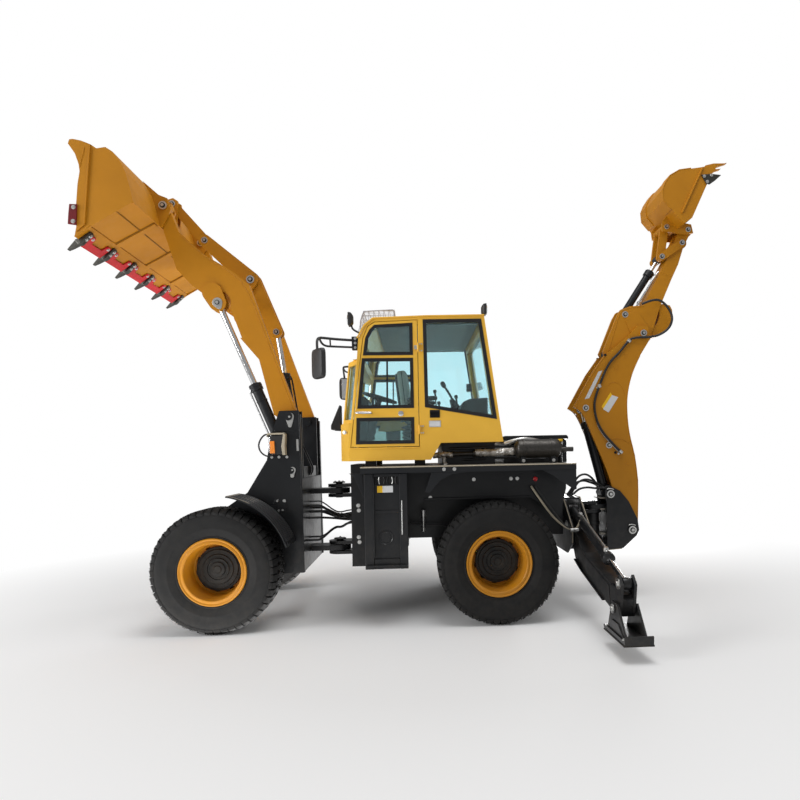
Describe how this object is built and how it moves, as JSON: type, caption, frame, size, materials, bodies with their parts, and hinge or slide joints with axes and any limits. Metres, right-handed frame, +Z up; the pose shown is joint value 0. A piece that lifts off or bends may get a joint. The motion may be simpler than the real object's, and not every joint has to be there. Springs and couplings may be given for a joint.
{
  "type": "articulated backhoe loader",
  "caption": "Compact articulated backhoe loader: wheeled machine with raised front bucket, cab, rear digging arm and stabiliser legs.",
  "frame": {"origin": "on the ground under the middle of the whole machine", "axes": "+X forward to the loader bucket, +Y to the machine's left, +Z up"},
  "size_m": [6.103, 4.22, 4.408],
  "materials": {
    "tyre": "moulded rubber, block tread",
    "amber_paint": "gloss paint",
    "cab_paint": "gloss paint",
    "black_paint": "satin paint",
    "glass": "clear, tinted",
    "seat_cloth": "woven",
    "tooth_steel": "worn dark steel",
    "chrome": "polished",
    "dark_plastic": "textured",
    "exhaust_steel": "heat shielded"
  },
  "bodies": {
    "chassis": {"rear_frame": "black_paint", "stabiliser_frame": "black_paint", "deck": "black_paint", "side_boxes": "black_paint", "rear_axle": "black_paint", "engine_block": "black_paint", "engine_hood": "black_paint", "muffler": "exhaust_steel", "cab_shell": "cab_paint", "cab_glass": "glass", "seat": "seat_cloth", "operator_controls": "dark_plastic", "mirrors": "dark_plastic"},
    "front_frame": {"front_frame": "black_paint", "front_axle": "black_paint", "front_fenders": "black_paint", "headlamps": "dark_plastic"},
    "wheel_front_left": {"tyre_front_left": "tyre", "rim_front_left": "amber_paint"},
    "wheel_front_right": {"tyre_front_right": "tyre", "rim_front_right": "amber_paint"},
    "wheel_rear_left": {"tyre_rear_left": "tyre", "rim_rear_left": "amber_paint"},
    "wheel_rear_right": {"tyre_rear_right": "tyre", "rim_rear_right": "amber_paint"},
    "loader_arms": {"loader_arms": "amber_paint"},
    "rocker": {"rocker": "amber_paint"},
    "bucket_link": {"bucket_link": "amber_paint"},
    "lift_barrels": {"lift_barrels": "black_paint"},
    "lift_rods": {"lift_rods": "chrome"},
    "dump_barrel": {"dump_barrel": "black_paint"},
    "dump_rod": {"dump_rod": "chrome"},
    "swing_post": {"swing_post": "black_paint"},
    "boom": {"boom": "amber_paint"},
    "stick": {"stick": "amber_paint"},
    "hoe_bucket": {"hoe_bucket": "amber_paint"},
    "guide_levers": {"guide_levers": "amber_paint"},
    "hoe_link": {"hoe_link": "amber_paint"},
    "boom_barrel": {"boom_barrel": "black_paint"},
    "boom_rod": {"boom_rod": "chrome"},
    "stick_barrel": {"stick_barrel": "black_paint"},
    "stick_rod": {"stick_rod": "chrome"},
    "hoe_barrel": {"hoe_barrel": "black_paint"},
    "hoe_rod": {"hoe_rod": "chrome"},
    "door_left": {"door_left": "cab_paint", "door_glass_left": "glass"},
    "door_right": {"door_right": "cab_paint", "door_glass_right": "glass"},
    "loader_bucket": {"loader_bucket": "amber_paint", "bucket_teeth": "tooth_steel"},
    "leg_left": {"leg_left": "black_paint"},
    "leg_barrel_left": {"leg_barrel_left": "black_paint"},
    "leg_rod_left": {"leg_rod_left": "chrome"},
    "foot_left": {"foot_left": "black_paint"},
    "leg_right": {"leg_right": "black_paint"},
    "leg_barrel_right": {"leg_barrel_right": "black_paint"},
    "leg_rod_right": {"leg_rod_right": "chrome"},
    "foot_right": {"foot_right": "black_paint"}
  },
  "joints": [
    {"name": "steering", "type": "hinge", "parent": "chassis", "child": "front_frame", "pos_m": [0.976, 0, 0.87], "axis": [0, 0, 1], "range_deg": [-35, 35]},
    {"name": "wheel_front_left_spin", "type": "hinge", "parent": "front_frame", "child": "wheel_front_left", "pos_m": [1.929, 0.8475, 0.5375], "axis": [0, 1, 0], "continuous": true},
    {"name": "wheel_front_right_spin", "type": "hinge", "parent": "front_frame", "child": "wheel_front_right", "pos_m": [1.929, -0.8475, 0.5375], "axis": [0, 1, 0], "continuous": true},
    {"name": "wheel_rear_left_spin", "type": "hinge", "parent": "chassis", "child": "wheel_rear_left", "pos_m": [-0.521, 0.8475, 0.5375], "axis": [0, 1, 0], "continuous": true},
    {"name": "wheel_rear_right_spin", "type": "hinge", "parent": "chassis", "child": "wheel_rear_right", "pos_m": [-0.521, -0.8475, 0.5375], "axis": [0, 1, 0], "continuous": true},
    {"name": "arms_lift", "type": "hinge", "parent": "front_frame", "child": "loader_arms", "pos_m": [1.36, 0, 1.882], "axis": [0, 1, 0], "range_deg": [0, 103]},
    {"name": "lift_barrel_swing", "type": "hinge", "parent": "front_frame", "child": "lift_barrels", "pos_m": [1.343, 0, 1.377], "axis": [0, 1, 0], "range_deg": [-1, 89.54]},
    {"name": "lift_rod_slide", "type": "slide", "parent": "lift_barrels", "child": "lift_rods", "axis": [0.3824, 0, 0.924], "range_m": [-0.7235, 0.002]},
    {"name": "bucket_tilt", "type": "hinge", "parent": "loader_arms", "child": "loader_bucket", "pos_m": [2.462, 0, 3.835], "axis": [0, -1, 0], "range_deg": [0, 140]},
    {"name": "rocker_swing", "type": "hinge", "parent": "loader_arms", "child": "rocker", "pos_m": [1.807, 0, 3.289], "axis": [0, -1, 0], "range_deg": [-42.68, 1]},
    {"name": "bucket_link_swing", "type": "hinge", "parent": "loader_bucket", "child": "bucket_link", "pos_m": [2.572, 0, 4.058], "axis": [0, -1, 0], "range_deg": [-78.51, 1]},
    {"name": "dump_barrel_swing", "type": "hinge", "parent": "front_frame", "child": "dump_barrel", "pos_m": [1.392, 0, 1.6], "axis": [0, 1, 0], "range_deg": [-1, 77.75]},
    {"name": "dump_rod_slide", "type": "slide", "parent": "dump_barrel", "child": "dump_rod", "axis": [0.1497, 0, 0.9887], "range_m": [-0.0487, 0.002]},
    {"name": "door_left_hinge", "type": "hinge", "parent": "chassis", "child": "door_left", "pos_m": [0.15, 0.812, 2.16], "axis": [0, 0, 1], "range_deg": [0, 90]},
    {"name": "door_right_hinge", "type": "hinge", "parent": "chassis", "child": "door_right", "pos_m": [0.15, -0.812, 2.16], "axis": [0, 0, -1], "range_deg": [0, 90]},
    {"name": "swing", "type": "hinge", "parent": "chassis", "child": "swing_post", "pos_m": [-1.645, 0, 0.745], "axis": [0, 0, 1], "range_deg": [-80, 80]},
    {"name": "boom_lift", "type": "hinge", "parent": "swing_post", "child": "boom", "pos_m": [-2.007, 0, 0.694], "axis": [0, -1, 0], "range_deg": [0, 95]},
    {"name": "boom_barrel_swing", "type": "hinge", "parent": "swing_post", "child": "boom_barrel", "pos_m": [-1.787, 0, 1.065], "axis": [0, -1, 0], "range_deg": [-1, 106.67]},
    {"name": "boom_rod_slide", "type": "slide", "parent": "boom_barrel", "child": "boom_rod", "axis": [0.2464, 0, 0.9692], "range_m": [-0.002, 0.5993]},
    {"name": "stick_fold", "type": "hinge", "parent": "boom", "child": "stick", "pos_m": [-2.176, 0, 2.711], "axis": [0, 1, 0], "range_deg": [-110, 0]},
    {"name": "stick_barrel_swing", "type": "hinge", "parent": "boom", "child": "stick_barrel", "pos_m": [-1.85, 0, 1.4], "axis": [0, 1, 0], "range_deg": [-11.13, 1]},
    {"name": "stick_rod_slide", "type": "slide", "parent": "stick_barrel", "child": "stick_rod", "axis": [0.0214, 0, 0.9998], "range_m": [-0.002, 0.6064]},
    {"name": "hoe_curl", "type": "hinge", "parent": "stick", "child": "hoe_bucket", "pos_m": [-2.667, 0, 3.776], "axis": [0, 1, 0], "range_deg": [-130, 0]},
    {"name": "guide_lever_swing", "type": "hinge", "parent": "stick", "child": "guide_levers", "pos_m": [-2.614, 0, 3.652], "axis": [0, 1, 0], "range_deg": [-107.2, 1]},
    {"name": "hoe_link_swing", "type": "hinge", "parent": "guide_levers", "child": "hoe_link", "pos_m": [-2.398, 0, 3.508], "axis": [0, 1, 0], "range_deg": [-1, 31.35]},
    {"name": "hoe_barrel_swing", "type": "hinge", "parent": "stick", "child": "hoe_barrel", "pos_m": [-2.005, 0, 2.915], "axis": [0, 1, 0], "range_deg": [-1, 6.2]},
    {"name": "hoe_rod_slide", "type": "slide", "parent": "hoe_barrel", "child": "hoe_rod", "axis": [-0.5524, 0, 0.8336], "range_m": [-0.002, 0.4092]},
    {"name": "leg_left_lower", "type": "hinge", "parent": "chassis", "child": "leg_left", "pos_m": [-1.354, 0.43, 0.8], "axis": [-1, 0, 0], "range_deg": [-90, 5]},
    {"name": "leg_left_barrel_swing", "type": "hinge", "parent": "chassis", "child": "leg_barrel_left", "pos_m": [-1.354, 0.33, 0.94], "axis": [-1, 0, 0], "range_deg": [-89.91, 5.94]},
    {"name": "leg_left_rod_slide", "type": "slide", "parent": "leg_barrel_left", "child": "leg_rod_left", "axis": [0, 0.9635, -0.2676], "range_m": [-0.2437, 0.0154]},
    {"name": "foot_left_level", "type": "hinge", "parent": "leg_left", "child": "foot_left", "pos_m": [-1.354, 1.81, 0.32], "axis": [1, 0, 0], "range_deg": [-30, 5]},
    {"name": "leg_right_lower", "type": "hinge", "parent": "chassis", "child": "leg_right", "pos_m": [-1.354, -0.43, 0.8], "axis": [1, 0, 0], "range_deg": [-90, 5]},
    {"name": "leg_right_barrel_swing", "type": "hinge", "parent": "chassis", "child": "leg_barrel_right", "pos_m": [-1.354, -0.33, 0.94], "axis": [1, 0, 0], "range_deg": [-89.91, 5.94]},
    {"name": "leg_right_rod_slide", "type": "slide", "parent": "leg_barrel_right", "child": "leg_rod_right", "axis": [0, -0.9635, -0.2676], "range_m": [-0.2437, 0.0154]},
    {"name": "foot_right_level", "type": "hinge", "parent": "leg_right", "child": "foot_right", "pos_m": [-1.354, -1.81, 0.32], "axis": [-1, 0, 0], "range_deg": [-30, 5]}
  ],
  "couplings": [
    {"joint": "lift_barrel_swing", "follows": "arms_lift", "ratio": 0.85957},
    {"joint": "lift_rod_slide", "follows": "arms_lift", "m_per_rad": -0.40135},
    {"joint": "rocker_swing", "follows": "bucket_tilt", "ratio": -0.29768},
    {"joint": "bucket_link_swing", "follows": "bucket_tilt", "ratio": -0.55367},
    {"joint": "dump_barrel_swing", "follows": "arms_lift", "ratio": 0.74517},
    {"joint": "dump_rod_slide", "follows": "arms_lift", "m_per_rad": -0.02598},
    {"joint": "boom_barrel_swing", "follows": "boom_lift", "ratio": 1.1124},
    {"joint": "boom_rod_slide", "follows": "boom_lift", "m_per_rad": 0.36024},
    {"joint": "stick_barrel_swing", "follows": "stick_fold", "ratio": 0.092115},
    {"joint": "stick_rod_slide", "follows": "stick_fold", "m_per_rad": -0.31483},
    {"joint": "guide_lever_swing", "follows": "hoe_curl", "ratio": 0.81693},
    {"joint": "hoe_link_swing", "follows": "hoe_curl", "ratio": -0.23343},
    {"joint": "hoe_barrel_swing", "follows": "hoe_curl", "ratio": -0.039971},
    {"joint": "hoe_rod_slide", "follows": "hoe_curl", "m_per_rad": -0.17949},
    {"joint": "leg_left_barrel_swing", "follows": "leg_left_lower", "ratio": 0.98785},
    {"joint": "leg_left_rod_slide", "follows": "leg_left_lower", "m_per_rad": 0.15387},
    {"joint": "leg_right_barrel_swing", "follows": "leg_right_lower", "ratio": 0.98785},
    {"joint": "leg_right_rod_slide", "follows": "leg_right_lower", "m_per_rad": 0.15387}
  ]
}
